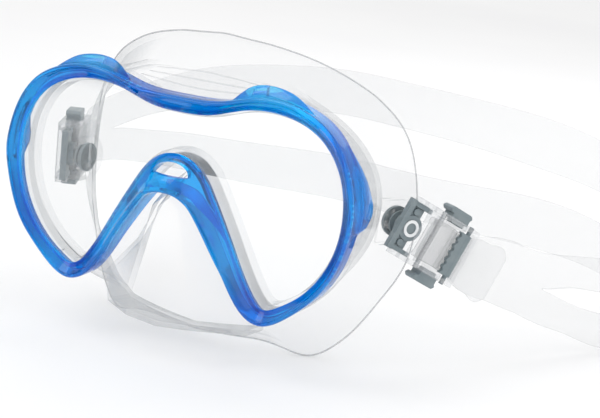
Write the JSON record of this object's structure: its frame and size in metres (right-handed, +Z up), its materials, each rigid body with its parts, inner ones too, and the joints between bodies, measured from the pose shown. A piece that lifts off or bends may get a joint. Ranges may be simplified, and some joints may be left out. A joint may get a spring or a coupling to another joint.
{
  "type": "diving mask",
  "caption": "Low-volume diving mask: one-piece lens in a blue frame, clear silicone skirt with nose pocket, and a split strap held by squeeze buckles.",
  "frame": {"origin": "on the lens's front face, midway between the brow and the top of the nose arch", "axes": "+X towards the wearer's left, -Y out of the lens (forwards), +Y towards the face, +Z up"},
  "size_m": [0.2751, 0.1929, 0.1307],
  "materials": {
    "lens_glass": "polished tempered glass",
    "frame_blue": "translucent gloss",
    "clear_frame": "clear polycarbonate",
    "clear_buckle": "clear polycarbonate",
    "skirt_silicone": "clear silicone, gloss",
    "strap_silicone": "clear silicone, satin",
    "grey_plastic": "satin moulded plastic",
    "white_plastic": "gloss",
    "steel_pin": "bright stainless"
  },
  "bodies": {
    "mask": {"lens": "lens_glass", "front_frame": "frame_blue", "retaining_frame": "clear_frame", "skirt": "skirt_silicone", "stud_anchor_left": "grey_plastic", "stud_anchor_right": "grey_plastic"},
    "strap_set": {"strap": "strap_silicone", "swivel_plate_left": "grey_plastic", "swivel_ring_left": "white_plastic", "buckle_body_left": "clear_buckle", "roller_pin_left": "steel_pin", "gate_pin_left": "grey_plastic", "swivel_plate_right": "grey_plastic", "swivel_ring_right": "white_plastic", "buckle_body_right": "clear_buckle", "roller_pin_right": "steel_pin", "gate_pin_right": "grey_plastic"},
    "roller_left": {"roller_left": "clear_buckle"},
    "gate_left": {"gate_left": "grey_plastic"},
    "button_upper_left": {"button_upper_left": "grey_plastic"},
    "button_lower_left": {"button_lower_left": "grey_plastic"},
    "roller_right": {"roller_right": "clear_buckle"},
    "gate_right": {"gate_right": "grey_plastic"},
    "button_upper_right": {"button_upper_right": "grey_plastic"},
    "button_lower_right": {"button_lower_right": "grey_plastic"}
  },
  "joints": [
    {"name": "strap_swing", "type": "hinge", "parent": "mask", "child": "strap_set", "pos_m": [0, 0.05, -0.031], "axis": [1, 0, 0], "range_deg": [-30, 45]},
    {"name": "roller_turn_left", "type": "hinge", "parent": "strap_set", "child": "roller_left", "pos_m": [0.08999, 0.05655, -0.03635], "axis": [0.2713, 0.3724, 0.8875], "continuous": true},
    {"name": "gate_lift_left", "type": "hinge", "parent": "strap_set", "child": "gate_left", "pos_m": [0.09952, 0.06454, -0.04261], "axis": [0.2713, 0.3724, 0.8875], "range_deg": [0, 25]},
    {"name": "press_upper_left", "type": "slide", "parent": "strap_set", "child": "button_upper_left", "axis": [-0.2713, -0.3724, -0.8875], "range_m": [0, 0.0014], "stiffness_N_per_m": 3000},
    {"name": "press_lower_left", "type": "slide", "parent": "strap_set", "child": "button_lower_left", "axis": [0.2713, 0.3724, 0.8875], "range_m": [0, 0.0014]},
    {"name": "roller_turn_right", "type": "hinge", "parent": "strap_set", "child": "roller_right", "pos_m": [-0.089, 0.05934, -0.031], "axis": [0, 0, -1], "continuous": true},
    {"name": "gate_lift_right", "type": "hinge", "parent": "strap_set", "child": "gate_right", "pos_m": [-0.09732, 0.07051, -0.031], "axis": [0, 0, -1], "range_deg": [0, 25]},
    {"name": "press_upper_right", "type": "slide", "parent": "strap_set", "child": "button_upper_right", "axis": [0, 0, -1], "range_m": [0, 0.0014], "stiffness_N_per_m": 3000},
    {"name": "press_lower_right", "type": "slide", "parent": "strap_set", "child": "button_lower_right", "axis": [0, 0, 1], "range_m": [0, 0.0014]}
  ],
  "couplings": [
    {"joint": "press_lower_left", "follows": "press_upper_left", "ratio": 1},
    {"joint": "gate_lift_left", "follows": "press_upper_left", "rad_per_m": 305.43},
    {"joint": "press_lower_right", "follows": "press_upper_right", "ratio": 1},
    {"joint": "gate_lift_right", "follows": "press_upper_right", "rad_per_m": 305.43}
  ]
}
